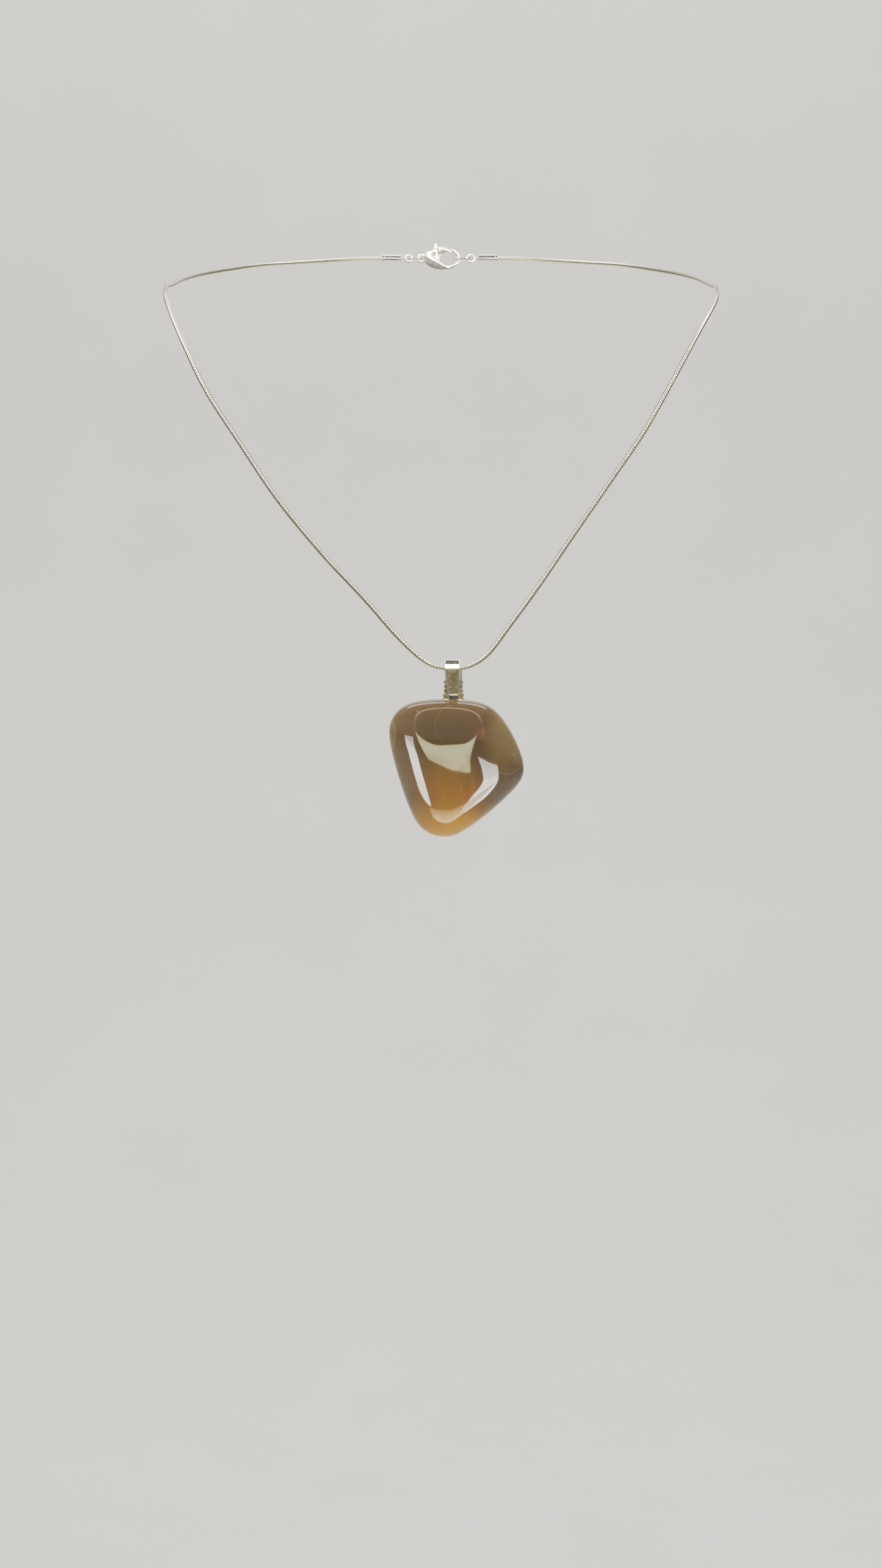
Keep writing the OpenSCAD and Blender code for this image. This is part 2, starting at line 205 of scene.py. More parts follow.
def blend_colour(tree, share, a, b):
    """Colour a turned into colour b by a share, through a Mix node."""
    paint = [c if isinstance(c, Wire) else (*c, 1) for c in (a, b)]
    settings = {"data_type": "RGBA", "blend_type": "MIX"}
    return node(tree, "ShaderNodeMix", settings, {0: share, 6: paint[0], 7: paint[1]}, 2)


def new_material(name):
    """A new material, its tree, and its shader, which is wired to the output."""
    made = bpy.data.materials.new(name)
    made.use_nodes = True
    tree = made.node_tree
    shader = tree.nodes.get("Principled BSDF")
    return made, tree, shader


def set_shader(tree, shader, values):
    for key, value in values.items():
        if isinstance(value, Wire):
            tree.links.new(value.socket, shader.inputs[key])
        else:
            shader.inputs[key].default_value = value


def position(tree):
    """Object coordinates in millimetres, as a vector wire."""
    where = node(tree, "ShaderNodeTexCoord", {}, {}, 3)
    return node(tree, "ShaderNodeVectorMath", {"operation": "SCALE"}, {0: where, "Scale": 1000.0})


def attribute(tree, name, output=2):
    return node(tree, "ShaderNodeAttribute", {"attribute_name": name}, {}, output)


def clouds(tree, where, scale, detail=3.0, rough=0.55, bend=0.0):
    settings = {"noise_dimensions": "3D"}
    inputs = {"Vector": where, "Scale": scale, "Detail": detail, "Roughness": rough, "Distortion": bend}
    return node(tree, "ShaderNodeTexNoise", settings, inputs)


def stretched(tree, where, amounts):
    """A place multiplied by a number along each axis, to draw a pattern out along the smaller ones."""
    return node(tree, "ShaderNodeVectorMath", {"operation": "MULTIPLY"}, {0: where, 1: amounts})


def bump(tree, height, strength, depth_mm):
    inputs = {"Strength": strength, "Distance": depth_mm * MM, "Height": height}
    return node(tree, "ShaderNodeBump", {}, inputs)


# ---------------------------------------------------------------- materials
def silver(name, tone=(0.86, 0.84, 0.79), gloss=0.16, painted_gap_shade=False, sunk=False):
    """Polished silver: cloudy wear in the gloss, hairline scratches, and, when asked, painted shade in gaps and on
    sunk faces.
    """
    made, tree, shader = new_material(name)
    where = position(tree)
    wear = clouds(tree, where, 1.1, 4.0)
    hair = clouds(tree, stretched(tree, where, (2.0, 2.0, 14.0)), 1.6, 2.0)
    colour = blend_colour(tree, wear.ease(0.35, 0.75), tone, tuple(0.93 * c for c in tone))
    rough = gloss + 0.10 * wear.ease(0.4, 0.8) + 0.05 * hair
    # Painted shade: deep in the grooves and notches the colour turns near black, standing in for the shade that
    # falls there.
    if painted_gap_shade:
        gap = attribute(tree, "gap")
        colour = blend_colour(tree, gap.ease(0.15, 0.95), colour, (0.085, 0.070, 0.036))
        rough = rough + 0.25 * gap.ease(0.3, 1.0)
    # Painted shade: the sunk attribute turns the silver to a darker, mottled brass on the bail's sunk front face,
    # standing in for the dark room it reflects, and on the lower back leg.
    if sunk:
        shade_share = attribute(tree, "sunk")
        mottle = clouds(tree, where, 1.7, 3.0).ease(0.3, 0.7)
        dark = blend_colour(tree, mottle, (0.720, 0.620, 0.420), (0.600, 0.500, 0.320))
        colour = blend_colour(tree, shade_share, colour, dark)
        rough = rough + 0.08 * shade_share
    set_shader(
        tree,
        shader,
        {"Base Color": colour, "Metallic": 1.0, "Roughness": rough, "Normal": bump(tree, hair, 0.05, 0.02)},
    )
    return made


def agate():
    """Smoky brown chalcedony that warms to orange and gold below, with a lens, healed cracks and sparks."""
    made, tree, shader = new_material("agate")
    place = attribute(tree, "local_mm", 1)
    split = tree.nodes.new("ShaderNodeSeparateXYZ")
    tree.links.new(place.socket, split.inputs[0])
    x, z = Wire(tree, split.outputs[0]), Wire(tree, split.outputs[2])
    drift = clouds(tree, place, 0.11, 3.0, 0.5, 0.6)
    fine = clouds(tree, place, 0.45, 4.0, 0.6, 0.4)
    wave = 3.2 * (drift - 0.5)

    def patch(cx, cz, wide, high, soft=0.5, turn=0.0, stir=1.0):
        """1 inside an oval about (cx, cz), falling to 0 over the share soft of its size."""
        c, s = math.cos(math.radians(turn)), math.sin(math.radians(turn))
        u = (x - cx + stir * wave) * c + (z - cz) * s
        w = (z - cz + stir * wave) * c - (x - cx) * s
        reach = ((u / wide) ** 2.0 + (w / high) ** 2.0).root()
        return reach.ease(1 + soft, 1 - soft)

    def arc(cx, cz, radius, thick, stir=0.25):
        """A hair-thin curved line: the rim of a circle about (cx, cz)."""
        u, w = x - cx + stir * wave, z - cz + stir * wave
        away = (((u * u + w * w).root() - radius).size()) / thick
        return away.ease(1.0, 0.2)

    colour = blend_colour(tree, fine.ease(0.3, 0.75), (0.165, 0.112, 0.060), (0.132, 0.086, 0.045))
    colour = blend_colour(tree, 0.85 * patch(0.5, -8.0, 9.5, 7.0, 0.45), colour, (0.138, 0.090, 0.045))
    colour = blend_colour(tree, 0.80 * patch(-12.5, -12.0, 5.0, 9.0, 0.5), colour, (0.180, 0.120, 0.062))
    colour = blend_colour(tree, 0.75 * patch(14.5, -20.5, 6.5, 6.5, 0.4), colour, (0.180, 0.130, 0.082))
    colour = blend_colour(tree, 0.70 * patch(13.0, -8.0, 5.0, 6.0, 0.5), colour, (0.265, 0.190, 0.080))
    colour = blend_colour(tree, 0.80 * patch(-1.0, -19.0, 7.0, 7.0, 0.6), colour, (0.340, 0.175, 0.036))
    colour = blend_colour(tree, 0.90 * patch(0.5, -28.0, 9.5, 6.0, 0.55), colour, (0.540, 0.250, 0.008))
    colour = blend_colour(tree, 0.80 * patch(1.0, -29.0, 5.0, 4.5, 0.7), colour, (0.800, 0.400, 0.002))
    colour = blend_colour(tree, 0.55 * patch(0.5, -20.3, 5.2, 3.4, 0.9, 12.0), colour, (0.500, 0.215, 0.010))
    colour = blend_colour(tree, 0.40 * patch(3.4, -20.2, 1.6, 1.5, 0.9), colour, (0.560, 0.165, 0.010))
    colour = blend_colour(tree, 0.40 * patch(6.2, -6.6, 1.2, 0.9, 0.9), colour, (0.340, 0.160, 0.070))
    # Upright streaks, as of layers seen edge on through the glow
    layer = clouds(tree, stretched(tree, place, (0.60, 0.30, 0.07)), 1.0, 3.0, 0.6, 0.5).ease(0.35, 0.7)
    layer_share = 0.30 * layer * z.ease(-10.0, -17.0) * z.ease(-26.0, -21.0)
    colour = blend_colour(tree, layer_share, colour, (0.150, 0.075, 0.022))
    # Lens-shaped inclusion at the wearer's right edge
    lens = patch(-13.55, -7.6, 1.0, 3.4, 0.16, -4.0, 0.1)
    colour = blend_colour(tree, 0.75 * lens, colour, (0.255, 0.190, 0.085))
    # Healed crack on the far side: olive above it, grey below, a bright line between
    healed = patch(12.6, -11.6, 3.9, 4.0, 0.05, 0.0, 0.3)
    colour = blend_colour(tree, 0.35 * healed * z.ease(-8.5, -12.5), colour, (0.240, 0.170, 0.090))
    lines = 0.42 * arc(12.6, -11.6, 4.0, 0.14) * z.ease(-12.0, -13.5)
    lines = lines + 0.24 * arc(0.4, -5.0, 4.3, 0.11) * x.ease(0.6, -1.2)
    lines = lines + 0.20 * arc(-19.5, -20.0, 9.4, 0.12) * z.ease(-10.0, -14.0)
    colour = blend_colour(tree, lines.clamp(), colour, (0.42, 0.31, 0.18))
    # Sparks: cells of a Voronoi pattern whose random number is high, drawn only near their middle
    cells = {"voronoi_dimensions": "3D", "feature": "F1"}
    near = node(tree, "ShaderNodeTexVoronoi", cells, {"Vector": place, "Scale": 0.42})
    chance = node(tree, "ShaderNodeTexVoronoi", cells, {"Vector": place, "Scale": 0.42}, 1)
    pick = node(tree, "ShaderNodeSeparateColor", {}, {0: chance})
    speck = near.ease(0.075, 0.035) * pick.ease(0.70, 0.74)
    colour = blend_colour(tree, 0.8 * speck, colour, (0.85, 0.62, 0.34))
    glint = node(tree, "ShaderNodeTexVoronoi", cells, {"Vector": place, "Scale": 1.15}).ease(0.16, 0.05)
    glint = glint * patch(12.2, -9.8, 2.4, 1.3, 0.3, 0.0, 0.0)
    colour = blend_colour(tree, 0.9 * glint, colour, (0.80, 0.36, 0.07))
    flaw = patch(4.6, -28.2, 1.6, 0.16, 0.5, 24.0, 0.0)
    colour = blend_colour(tree, 0.8 * flaw, colour, (0.10, 0.012, 0.006))
    set_shader(
        tree,
        shader,
        {
            "Base Color": colour,
            "Roughness": 0.028 + 0.03 * fine,
            "IOR": 1.54,
            "Subsurface Weight": 0.10,
            "Subsurface Radius": (1.0, 0.45, 0.15),
            "Subsurface Scale": 0.003,
            "Coat Weight": 0.15,
            "Coat Roughness": 0.01,
            "Normal": bump(tree, clouds(tree, place, 0.16, 1.0), 0.05, 0.25),
        },
    )
    return made


def clear_glue():
    """Set glue: milky, a little yellow, with a few cloudy spots."""
    made, tree, shader = new_material("clear_glue")
    spots = clouds(tree, position(tree), 1.3, 3.0)
    colour = blend_colour(tree, spots.ease(0.4, 0.7), (0.62, 0.58, 0.47), (0.74, 0.71, 0.62))
    set_shader(tree, shader, {"Base Color": colour, "Roughness": 0.22 + 0.2 * spots, "Coat Weight": 0.4})
    return made


def spring_steel():
    """Drawn steel wire: grey, with fine lengthwise streaks in its gloss."""
    made, tree, shader = new_material("spring_steel")
    streak = clouds(tree, position(tree), 6.0, 2.0)
    colour = blend_colour(tree, streak.ease(0.35, 0.7), (0.34, 0.34, 0.35), (0.22, 0.22, 0.23))
    set_shader(tree, shader, {"Base Color": colour, "Metallic": 1.0, "Roughness": 0.25 + 0.2 * streak})
    return made


def give(piece, made):
    piece.data.materials.clear()
    piece.data.materials.append(made)


# ---------------------------------------------------------------- the snake chain
back_route = [(-18, 66, 6), (-27.5, 64.5, 5.5), (-37, 60.5, 5), (-46, 53.5, 4.5), (-53.5, 44, 3.5)]
back_route += [(-59.5, 32.5, 2.5), (-63, 21, 1.5), (-64.5, 10, 0.5)]
front_route = [(-65, 0, 0), (-64, -7, -3), (-60, -15.5, -11), (-54, -22, -22.5), (-46, -28, -34)]
front_route += [(-37, -34, -46.5), (-27, -39, -58), (-17, -44, -68), (-10, -47.5, -75.5), (-5, -49.5, -80)]
front_route += [(-1.5, -50, -82)]
front_route += [tuple(HANG), (6.5, -50, -82), (10.5, -49, -79.5), (15, -46.5, -74), (22, -42.5, -65)]
front_route += [(30, -37.5, -54), (38.5, -32, -42.5), (46.5, -26.5, -31.5), (53.5, -20.5, -20), (60, -14, -9)]
front_route += [(64, -7, -3), (65, 0, 0)]
route = np.array(back_route + front_route + [(-x, y, z) for x, y, z in reversed(back_route)], float)

CHAIN_R = 0.6
LINK_PITCH = 0.69
LINK_STEPS = 7
ROUND = 20
CURVE_STEPS = 60
END_TUCK = 0.05  # how far each end of the visual chain runs on past the solid one


def smooth_line(points, steps):
    """Points on a smooth curve through every given point: between neighbours b and c, with a before and d
    after, it is the cubic that leaves b along c - a and meets c along d - b. The ends run along X."""
    before = np.array([2 * points[0][0] - points[1][0], points[1][1], points[1][2]])
    after = np.array([2 * points[-1][0] - points[-2][0], points[-2][1], points[-2][2]])
    p = np.concatenate([before[None], points, after[None]])
    a, b, c, d = p[:-3, None], p[1:-2, None], p[2:-1, None], p[3:, None]
    t = (np.arange(steps) / steps)[None, :, None]
    curve = 0.5 * (2 * b + (c - a) * t + (2 * a - 5 * b + 4 * c - d) * t**2 + (3 * b - a - 3 * c + d) * t**3)
    return np.concatenate([curve.reshape(-1, 3), points[-1:]])


def even_steps(line, step):
    """The same line with points a fixed length apart."""
    run = np.concatenate([[0], np.cumsum(np.linalg.norm(np.diff(line, axis=0), axis=1))])
    count = int(round(run[-1] / step)) + 1
    marks = np.linspace(0, run[-1], count)
    return np.stack([np.interp(marks, run, line[:, k]) for k in range(3)], -1), marks


def snake_chain():
    """A tube along the route whose radius is the chain's, less a groove at every quarter turn and a notch at
    every link. A notch is one less a power of the sine's size along the length; it is slanted across its
    column, and neighbouring columns are half a link apart, as links threaded through each other lie."""
    y, z = route[0, 1:]
    line = smooth_line(route, CURVE_STEPS)
    line = np.concatenate([[(chain_start - END_TUCK, y, z)], line, [(chain_end + END_TUCK, y, z)]])
    line, run = even_steps(line, LINK_PITCH / LINK_STEPS)
    ahead = unit(np.gradient(line, axis=0))
    side = unit(np.cross(ahead, [0.0, 0.0, 1.0]))
    up = np.cross(side, ahead)
    turn = 2 * np.pi * np.arange(ROUND) / ROUND
    column = np.floor(4 * np.arange(ROUND) / ROUND + 1e-6)
    across = (4 * turn / (2 * np.pi)) - column - 0.5
    groove = np.clip(2 * np.abs(across), 0, 1) ** 3
    slant = 0.55 * across * np.where(column % 2, -1, 1)
    phase = run[:, None] / LINK_PITCH + 0.5 * (column[None] % 2) + slant[None]
    notch = 1 - np.abs(np.sin(np.pi * phase)) ** 0.6
    radius = CHAIN_R * (1 - 0.16 * groove[None] - 0.13 * notch)
    points = line[:, None] + radius[..., None] * (
        np.cos(turn)[None, :, None] * side[:, None] + np.sin(turn)[None, :, None] * up[:, None]
    )
    # gap: how deep in a groove or notch each point lies; the chain's silver paints shade by it.
    gap = np.clip(0.75 * groove[None] + 0.85 * notch, 0, 1)
    points, faces = closed_tube(points)
    gap = np.concatenate([gap.ravel(), [1.0, 1.0]])
    piece = make_piece("snake_chain", points, faces, {"gap": gap})
    return piece, line, run[-1]


chain, chain_line, chain_length = snake_chain()
# The chain's silver paints shade in its grooves and notches.
give(chain, silver("chain_silver", (0.95, 0.90, 0.74), 0.15, painted_gap_shade=True))
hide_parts("chain_front", "chain_back_left", "chain_back_right")
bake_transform(chain)

# ---------------------------------------------------------------- the stone
STONE_W, STONE_H, STONE_T = 31.0, 32.3, 7.5
BACK_EDGE, BACK_ROUND, CROWN_POWER, STONE_DROP = 2.2, 1.4, 2.5, 6.9
LOOP_R, LEG_T, FOLD_T, LEG_SPACE, GLUE_T = 0.85, 0.6, 1.2, 2.6, 0.12
BACK_FACE = LEG_SPACE / 2
GIRDLE = BACK_FACE - GLUE_T - BACK_EDGE
# Two shoulders, a side and the bottom: across, up and radius, in shares of the stone's size
STONE_ROUNDS = np.array(
    [(-0.23, -0.246, 0.232), (0.15, -0.264, 0.25), (0.355, -0.50, 0.175), (-0.055, -0.745, 0.255)]
)
CORNER_GRIP = 18
SIDE_SWELL = 0.02
STONE_MID = np.array([0.03, -0.49])
PATTERN_SQUASH = 0.957  # the stone's pattern is laid out on a slightly shorter stone


def stone_outline(count):
    """Edge of the stone in each direction round from the top: every rounded corner's outermost point in that
    direction, weighted by the exponential of its reach, plus a swell where two corners share the work."""
    turn = 2 * np.pi * np.arange(count) / count
    way = np.stack([np.sin(turn), np.cos(turn)], -1)
    middles, radii = STONE_ROUNDS[:, :2], STONE_ROUNDS[:, 2]
    reach = way @ middles.T + radii
    parts = np.exp(CORNER_GRIP * (reach - reach.max(1, keepdims=True)))
    parts /= parts.sum(1, keepdims=True)
    mix = -(parts * np.log(parts)).sum(1)
    return parts @ middles + (parts @ radii + SIDE_SWELL * mix)[:, None] * way


def polished_stone():
    """The outline carried from the flat back, round a quarter-oval back edge to the girdle, and over a crown
    whose inward share and height are the cosine and sine of one angle, each to the power 2 / CROWN_POWER."""
    around, edge, crown = 288, 16, 72
    a = np.linspace(np.pi / 2, 0, edge, endpoint=False)
    b = (np.linspace(0, 1, crown) ** 1.35) * np.pi / 2
    b = b[:-1]
    inward = np.concatenate([1 - 2 * BACK_ROUND / STONE_W * (1 - np.cos(a)), np.cos(b) ** (2 / CROWN_POWER)])
    rise = (STONE_T - BACK_EDGE) * np.sin(b) ** (2 / CROWN_POWER)
    depth = np.concatenate([GIRDLE + BACK_EDGE * np.sin(a), GIRDLE - rise])
    shares = np.linspace(0.06, 1, 12)[:-1] * inward[0]
    inward = np.concatenate([shares, inward])
    depth = np.concatenate([np.full(len(shares), depth[0]), depth])
    rim = stone_outline(around) - STONE_MID
    flat = STONE_MID + inward[:, None, None] * rim[None]
    grid = np.stack(
        [
            flat[..., 0] * STONE_W,
            np.broadcast_to(depth[:, None], flat.shape[:2]),
            flat[..., 1] * STONE_H - STONE_DROP,
        ],
        -1,
    )
    points, faces = closed_tube(grid)
    points[-1, 1] = GIRDLE - (STONE_T - BACK_EDGE)
    local = (points + [0, 0, STONE_DROP]) * [1, 1, PATTERN_SQUASH]
    return make_piece("polished_stone", hang(points), faces, {"local_mm": local})


stone = polished_stone()
give(stone, agate())
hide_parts("stone")
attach(stone, "pendant")

# ---------------------------------------------------------------- the bail
FRONT_FACE = -LOOP_R - LEG_T
FOLD_TOP = LOOP_R + FOLD_T
FOOT_Z = -STONE_DROP + 0.08
SPREAD_Z, PAD_TOP, PAD_LEN, SCALLOP_R = -3.0, -3.6, 14.5, 0.75
RIBBON_W, FOOT_W, FOOT_LEAN, BACK_LEG_W, PAD_LEAN, PAD_W = 3.3, 2.4, 0.35, 3.9, 0.3, 3.4
RIM_W, RIM_H = 0.3, 0.12


def soften(line, reach):
    """Running mean over reach neighbours on each side: it rounds the corners of a line and keeps its ends."""
    padded = np.concatenate([np.repeat(line[:1], reach, 0), line, np.repeat(line[-1:], reach, 0)])
    total = np.cumsum(np.concatenate([np.zeros((1, line.shape[1])), padded]), 0)
    out = (total[2 * reach + 1 :] - total[: -2 * reach - 1]) / (2 * reach + 1)
    out[0], out[-1] = line[0], line[-1]
    return out


def pad_half(z):
    """Half width between the scallops' middles: a straight narrowing plus a squared sine."""
    s = np.clip((PAD_TOP - z) / (PAD_LEN + PAD_TOP), 0, 1)
    return (BACK_LEG_W / 2 - 0.5) * (1 - s) + (PAD_W / 2 - BACK_LEG_W / 4 + 0.25) * np.sin(np.pi * s) ** 2


def pad_edge(z):
    """Half width of the pad at each height: the furthest reach of a scallop's circle, or the pad's body."""
    step = SCALLOP_R * 1.35
    count = int((PAD_LEN + PAD_TOP - SCALLOP_R) // step)
    middles = np.append(PAD_TOP - step * np.arange(count + 1), -PAD_LEN + SCALLOP_R)
    halves = np.append(pad_half(middles[:-1]), 0.0)
    away = SCALLOP_R**2 - (z[:, None] - middles[None]) ** 2
    reach = np.where(away > 0, halves[None] + np.sqrt(np.clip(away, 0, None)), 0.0)
    body = np.where(z > middles[-1], np.interp(-z, -middles, halves), 0.0)
    return np.maximum(reach.max(1), body)


def folded_bail():
    """A ribbon carried along the bail's side view. The outer line and the inner line share one parameter, and
    the wall lies between them. Across the ribbon the wall has a rim at each edge, a sunk face between, and
    rounded corners."""
    f = FRONT_FACE
    outer_corners = [(f, FOOT_Z), (f, 0.3), (f + 0.3, FOLD_TOP - 0.7), (f + 1, FOLD_TOP)]
    outer_corners += [(-f - 0.5, FOLD_TOP), (-f, FOLD_TOP - 0.9), (-f, 0.4)]
    outer_corners += [(BACK_FACE + LEG_T, SPREAD_Z), (BACK_FACE + LEG_T, -PAD_LEN)]
    arc_at = [180, 150, 112, 62, 22, 0]
    counts = [110, 26, 24, 32, 22, 12, 60, 460]
    outer, inner = [], []
    for k, count in enumerate(counts):
        t = np.arange(count)[:, None] / count
        outer.append(np.array(outer_corners[k]) * (1 - t) + np.array(outer_corners[k + 1]) * t)
        if k == 0:
            inner.append(np.array((-LOOP_R, FOOT_Z)) * (1 - t) + np.array((-LOOP_R, 0.0)) * t)
        elif k < 6:
            a = np.radians(arc_at[k - 1] * (1 - t) + arc_at[k] * t)
            inner.append(LOOP_R * np.concatenate([np.cos(a), np.sin(a)], 1))
        elif k == 6:
            inner.append(np.array((LOOP_R, 0.0)) * (1 - t) + np.array((BACK_FACE, SPREAD_Z)) * t)
        else:
            inner.append(np.array((BACK_FACE, SPREAD_Z)) * (1 - t) + np.array((BACK_FACE, -PAD_LEN)) * t)
    stage = np.repeat(np.arange(len(counts)), counts)
    outer, inner = soften(np.concatenate(outer), 3), soften(np.concatenate(inner), 3)
    z = outer[:, 1]
    # Left and right edges, looked at from the front
    knots = [FOOT_Z, FOOT_Z + 0.9, 0.3]
    left_front = np.interp(z, knots, [FOOT_LEAN - FOOT_W / 2 - 0.12, FOOT_LEAN - FOOT_W / 2, -RIBBON_W / 2])
    right_front = np.interp(z, knots, [FOOT_LEAN + FOOT_W / 2 + 0.4, FOOT_LEAN + FOOT_W / 2, RIBBON_W / 2])
    leg_half = np.interp(-z, [-0.4, 0.8], [RIBBON_W / 2, BACK_LEG_W / 2])
    leg_lean = np.interp(-z, [-0.4, 0.8], [0.0, PAD_LEAN])
    half = np.where(z < PAD_TOP, pad_edge(z), leg_half)
    near_top = (z < SPREAD_Z) & (z >= PAD_TOP)
    half = np.where(near_top, np.maximum(leg_half, pad_edge(z)), half)
    half = np.maximum(half, 0.04)
    front = stage < 1
    fold = (stage >= 1) & (stage < 6)
    left = np.where(front, left_front, np.where(fold, -RIBBON_W / 2, leg_lean - half))
    right = np.where(front, right_front, np.where(fold, RIBBON_W / 2, leg_lean + half))
    wall = inner - outer
    thick = np.linalg.norm(wall, axis=1, keepdims=True)
    into = wall / thick
    # Painted shade: the back leg darkens downward from the fold, where it goes in behind the front leg and the
    # stone.
    back_leg_shade = np.where(stage >= 6, 0.55 * np.clip((0.6 - z) / 1.5, 0, 1), 0.0)
    sink = np.where(front, np.clip((z - FOOT_Z - 1.05) / 0.12, 0, 1) * np.clip((0.22 - z) / 0.12, 0, 1), 0.0)
    # Cross-section: (distance from the nearer edge, depth, share of the sink, share of the thickness)
    corner = [(0.0, 0.09, 0, 0), (0.012, 0.045, 0, 0), (0.045, 0.012, 0, 0), (0.09, 0.0, 0, 0)]
    rim = [(RIM_W - 0.09, 0.0, 0, 0), (RIM_W - 0.045, 0.008, 0.08, 0)]
    rim += [(RIM_W + 0.01, 0.0, 0.75, 0), (RIM_W + 0.06, 0.0, 1, 0)]
    under = [(0.09, 0.0, 0, 1), (0.045, -0.012, 0, 1), (0.012, -0.045, 0, 1), (0.0, -0.09, 0, 1)]
    width = right - left
    squeeze = np.clip(width / 1.0, 0, 1)[:, None]
    rows = []
    marks = []

    def edge_points(recipe, from_left):
        recipe = np.array(recipe)
        x = left[:, None] + squeeze * recipe[:, 0] if from_left else right[:, None] - squeeze * recipe[:, 0]
        deep = recipe[None, :, 1] + RIM_H * sink[:, None] * recipe[None, :, 2] + thick * recipe[None, :, 3]
        rows.append(np.concatenate([x[..., None], outer[:, None] + into[:, None] * deep[..., None]], -1))
        marks.append(sink[:, None] * recipe[None, :, 2])

    def middle_points(shares, sunk, below):
        gap = (RIM_W + 0.06) * squeeze if not below else 0.09 * squeeze
        x = left[:, None] + gap + shares[None] * (width[:, None] - 2 * gap)
        deep = thick * below + RIM_H * sink[:, None] * sunk + 0 * x
        rows.append(np.concatenate([x[..., None], outer[:, None] + into[:, None] * deep[..., None]], -1))
        marks.append(sink[:, None] * sunk + 0 * x)

    edge_points(corner + rim, True)
    middle_points(np.linspace(0, 1, 8)[1:-1], 1.0, 0.0)
    edge_points((corner + rim)[::-1], False)
    edge_points(under[::-1], False)
    middle_points(np.linspace(1, 0, 6)[1:-1], 0.0, 1.0)
    edge_points(under, True)
    grid = np.concatenate(rows, 1)[:, ::-1]
    # sunk: where the silver paints shade, on the sunk front face and on the back leg.
    sunk = np.maximum(np.concatenate(marks, 1)[:, ::-1], back_leg_shade[:, None])
    points, faces = closed_tube(grid)
    sunk = np.concatenate([sunk.ravel(), [0.0, 0.0]])
    return make_piece("folded_bail", hang(points), faces, {"sunk": sunk})


bail = folded_bail()
# The bail's silver paints shade on its sunk face and back leg.
give(bail, silver("bail_silver", (0.93, 0.90, 0.79), 0.12, sunk=True))
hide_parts("bail")
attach(bail, "pendant")

# ---------------------------------------------------------------- clasp, rings and caps: the frame's solids
finding_silver = silver("finding_silver", (0.88, 0.86, 0.82), 0.14)
SOFTENED = {"end_cap_left": 0.10, "end_cap_right": 0.10, "clasp_body": 0.16, "clasp_lever": 0.10}
SOFTENED["clasp_pin"] = 0.05
BODY_OF = {part: body for body, parts in frame["record"]["behaviour"]["bodies"].items() for part in parts}


def soft_edges(name, width):
    """A copy of one solid, its corners welded and its sharp edges rounded to the width, to stand for it."""
    mesh = frame["nodes"][name].data.copy()
    shape = bmesh.new()
    shape.from_mesh(mesh)
    bmesh.ops.remove_doubles(shape, verts=shape.verts, dist=2e-6)
    bmesh.ops.dissolve_limit(shape, angle_limit=math.radians(0.5), verts=shape.verts, edges=shape.edges)
    shape.to_mesh(mesh)
    shape.free()
    mesh.polygons.foreach_set("use_smooth", np.ones(len(mesh.polygons), bool))
    made = bpy.data.objects.new("soft_" + name, mesh)
    bpy.context.scene.collection.objects.link(made)
    bevel = made.modifiers.new("edges", "BEVEL")
    bevel.width, bevel.segments, bevel.limit_method = width * MM, 3, "ANGLE"
    bevel.angle_limit, bevel.harden_normals = math.radians(35), True
    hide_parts(name)
    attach(made, BODY_OF[name])
    return made


findings = [frame["nodes"]["jump_ring"], frame["nodes"]["catch_ring"]]
findings += [soft_edges(name, width) for name, width in SOFTENED.items()]
for part in findings:
    give(part, finding_silver)
give(frame["nodes"]["clasp_spring"], spring_steel())
give(frame["nodes"]["adhesive"], clear_glue())
for name in ("stone", "bail", "chain_front", "chain_back_left", "chain_back_right"):
    give(frame["nodes"][name], finding_silver)

# ---------------------------------------------------------------- floor and light
FLOOR_Z = -620.0


def studio_floor():
    """A level floor that turns up behind into a wall: a flat, a quarter circle and an upright, along X."""
    radius, reach = 500.0, 900.0
    a = np.linspace(0, np.pi / 2, 24)
    profile = [(-5000.0, FLOOR_Z)]
    profile += [(reach + radius * math.sin(t), FLOOR_Z + radius * (1 - math.cos(t))) for t in a]
    profile += [(reach + radius, 2200.0)]
    profile = np.array(profile)
    x = np.array([-5000.0, 5000.0])
    points = np.stack(
        [np.repeat(x, len(profile)), np.tile(profile[:, 0], 2), np.tile(profile[:, 1], 2)], -1
    )
    n = len(profile)
    k = np.arange(n - 1)
    faces = np.stack([k, n + k, n + k + 1, k + 1], -1).tolist()
    floor = make_piece("studio_floor", points, faces)
    made, tree, shader = new_material("pale_paper")
    tone = clouds(tree, position(tree), 0.01, 3.0)
    colour = blend_colour(tree, tone.ease(0.3, 0.7), (0.80, 0.785, 0.75), (0.77, 0.755, 0.72))
    set_shader(tree, shader, {"Base Color": colour, "Roughness": 0.9})
    give(floor, made)


studio_floor()


def only_on(name, pieces):
    """A collection of the pieces that a light is allowed to reach."""
    group = bpy.data.collections.new(name)
    for piece in pieces:
        group.objects.link(piece)
    return group


stone_only = only_on("stone_only", [stone])
metal_only = only_on("metal_only", [chain, bail] + findings)


def lamp(name, place, aim, wide, high, power, tint=(1.0, 0.98, 0.95), group=None, gloss=True):
    """A rectangular softbox at a place in metres, facing another; gloss False hides it in reflections."""
    data = bpy.data.lights.new(name, "AREA")
    data.shape = "RECTANGLE"
    data.size, data.size_y = wide, high
    data.energy, data.color = power, tint
    box = bpy.data.objects.new(name, data)
    box.location = place
    box.rotation_euler = (Vector(aim) - Vector(place)).to_track_quat("-Z", "Y").to_euler()
    box.visible_camera = False
    box.visible_glossy = gloss
    if group is not None:
        box.light_linking.receiver_collection = group
    bpy.context.scene.collection.objects.link(box)


CARD_Y = -300.0


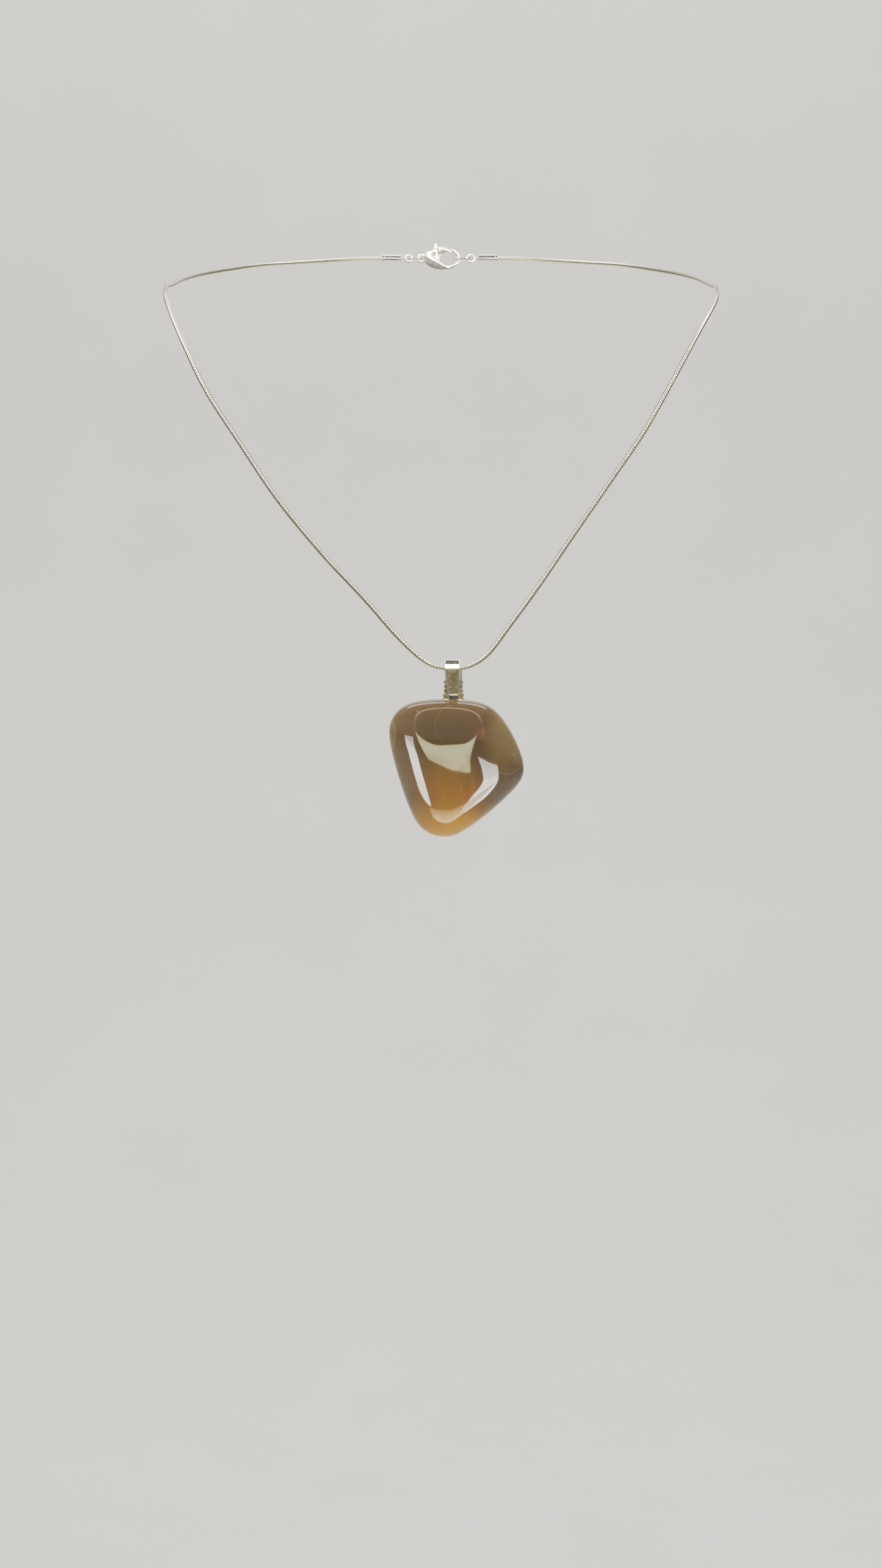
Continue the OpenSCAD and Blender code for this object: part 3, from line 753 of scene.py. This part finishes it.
def card(name, corners, faces, strength, tint, bright_z, dim_z):
    """A glowing reflector in front of the stone, seen only in its polish. It is brightest at the height
    bright_z and fades to an eighth at dim_z, with a slow mottle as of a curtained window."""
    corners = np.array(corners, float)
    points = np.insert(corners, 1, CARD_Y, axis=1)
    piece = make_piece(name, points, faces)
    made, tree, shader = new_material(name)
    split = tree.nodes.new("ShaderNodeSeparateXYZ")
    where = position(tree)
    tree.links.new(where.socket, split.inputs[0])
    fade = Wire(tree, split.outputs[2]).ease(dim_z, bright_z)
    mottle = clouds(tree, where, 0.025, 2.0).ease(0.3, 0.7)
    level = (0.12 + 0.88 * fade) * (0.68 + 0.32 * mottle)
    colour = blend_colour(tree, level, (0.0, 0.0, 0.0), tint)
    dark = {"Base Color": (0, 0, 0, 1), "Roughness": 1.0, "Specular IOR Level": 0.0}
    set_shader(tree, shader, {**dark, "Emission Color": colour, "Emission Strength": strength})
    give(piece, made)
    piece.visible_camera = piece.visible_diffuse = piece.visible_shadow = False
    piece.light_linking.receiver_collection = stone_only


def hung_cloth(middle, top, bottom, width, hem, sag):
    """Outline of a cloth hung from two points: its top edge sags as a parabola and it narrows to its hem."""
    along = np.linspace(-1, 1, 15)
    top_edge = np.stack([middle + width / 2 * along, top - sag * (1 - along ** 2)], -1)
    return [*top_edge.tolist(), (middle + hem / 2, bottom), (middle - hem / 2, bottom)]


def panel(middle, top, bottom, width, lean):
    """Outline of a flat panel of one width, whose foot stands a little across from its head."""
    half = width / 2
    head = [(middle - half, top), (middle + half, top)]
    return head + [(middle + lean + half, bottom), (middle + lean - half, bottom)]


def oval_line(wide, high, low_z, turn, across=0):
    """Points of an oval about (across, low_z), at each of the given angles."""
    return np.stack([wide * np.cos(turn) + across, high * np.sin(turn) + low_z], -1)


# A window seen through a hung cloth, a panel at each side, and a low bowl that is the lower half of an oval
window = hung_cloth(-15, -100, -200, 150, 80, 45)
card("window_card", window, [list(range(len(window)))], 12.0, (0.99, 1.0, 0.55), -150, -400)
card("left_card", panel(-145, -130, -300, 80, -10), [list(range(4))], 32.0, (1.0, 0.97, 0.90), -250, -85)
card("right_card", panel(90, -170, -400, 70, 30), [list(range(4))], 36.0, (1.0, 0.96, 0.88), -300, -85)
bowl = oval_line(130, 160, -310, np.linspace(np.pi, 2 * np.pi, 24))
card("low_card", bowl, [list(range(len(bowl)))], 14.0, (1.0, 0.80, 0.45), -430, -250)
# A thin arch between two ovals, which gives the bright line under the stone's top edge
arch_turn = np.linspace(-0.12 * np.pi, 1.12 * np.pi, 30)
arch = np.concatenate([oval_line(110, 330, 5, arch_turn, 5), oval_line(92, 262, 5, arch_turn, 5)])
outer_step = np.arange(len(arch_turn) - 1)
inner_step = outer_step + len(arch_turn)
arch_faces = np.stack([outer_step, outer_step + 1, inner_step + 1, inner_step], -1).tolist()
card("arch_card", arch, arch_faces, 9.0, (1.0, 0.9, 0.66), 250, -60)

lamp("ceiling", (0.10, -0.05, 0.85), (0.0, -0.02, -0.1), 0.9, 0.7, 14.0, gloss=False)
lamp("key", (-0.55, -0.60, 0.55), (0.0, -0.05, -0.1), 0.5, 0.5, 5.5, (1.0, 0.97, 0.92), gloss=False)
lamp("bevel_light", (0.0, -0.85, 0.06), (0.0, -0.05, -0.08), 0.5, 0.10, 6.0, (1.0, 0.97, 0.66), metal_only)
for side, across in (("left", -0.55), ("right", 0.55)):
    place = (across, -0.25, 0.45)
    lamp("strand_light_" + side, place, (0.0, -0.03, -0.05), 0.35, 0.5, 17.0, (1.0, 0.96, 0.82), metal_only)
lamp("backdrop_light", (0.0, 0.4, 1.3), (0.0, 1.3, 0.2), 1.6, 0.8, 40.0)

world = bpy.data.worlds.new("studio")
bpy.context.scene.world = world
world.use_nodes = True
sky = world.node_tree
split = sky.nodes.new("ShaderNodeSeparateXYZ")
sky.links.new(node(sky, "ShaderNodeTexCoord", {}, {}, 0).socket, split.inputs[0])
overhead = Wire(sky, split.outputs[2]).ease(0.15, 0.85)
sky_colour = blend_colour(sky, overhead, (0.46, 0.45, 0.43), (0.13, 0.13, 0.12))
sky.links.new(sky_colour.socket, sky.nodes["Background"].inputs[0])
